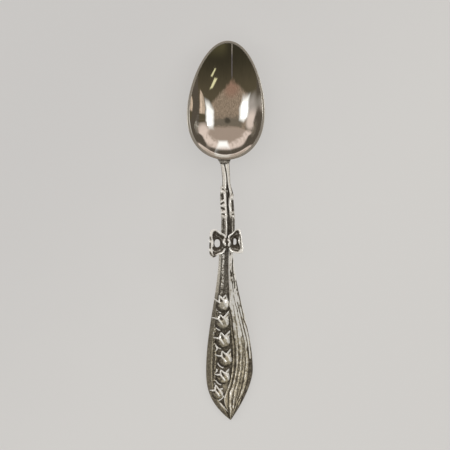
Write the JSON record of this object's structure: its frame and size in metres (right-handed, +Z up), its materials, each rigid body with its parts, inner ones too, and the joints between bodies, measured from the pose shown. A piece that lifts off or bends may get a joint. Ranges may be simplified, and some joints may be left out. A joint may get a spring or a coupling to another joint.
{
  "type": "teaspoon",
  "caption": "Silver teaspoon with an egg-shaped bowl and a handle of lily-of-the-valley stalks, leaves and bell flowers tied with an open ribbon bow.",
  "frame": {"origin": "under the middle of the spoon's bounding box, on the table it lies on", "axes": "+Y from the leaf tip towards the bowl's tip, +Z up out of the bowl's open side, +X to the right when seen from above with the bowl at the top"},
  "size_m": [0.0268, 0.13, 0.0149],
  "materials": {
    "polished_silver": "mirror-polished silver",
    "worn_silver": "silver with dark recesses and edges rubbed bright",
    "oxidised_silver": "oxidised silver with a stippled ground"
  },
  "bodies": {
    "root": {"bowl": "polished_silver", "neck_drop": "worn_silver", "stem_bar": "worn_silver", "left_stalk": "polished_silver", "right_stalk": "polished_silver", "left_sheath": "worn_silver", "right_sheath": "worn_silver", "bow_knot": "worn_silver", "bow_left_loop": "worn_silver", "bow_right_loop": "worn_silver", "left_leaf": "oxidised_silver", "right_leaf": "worn_silver", "flower_stalk": "worn_silver", "bell_1": "worn_silver", "bell_2": "worn_silver", "bell_3": "worn_silver", "bell_4": "worn_silver", "bell_5": "worn_silver", "bell_6": "worn_silver", "pedicel_1": "worn_silver", "pedicel_2": "worn_silver", "pedicel_3": "worn_silver", "pedicel_4": "worn_silver", "pedicel_5": "worn_silver", "pedicel_6": "worn_silver"}
  },
  "joints": []
}
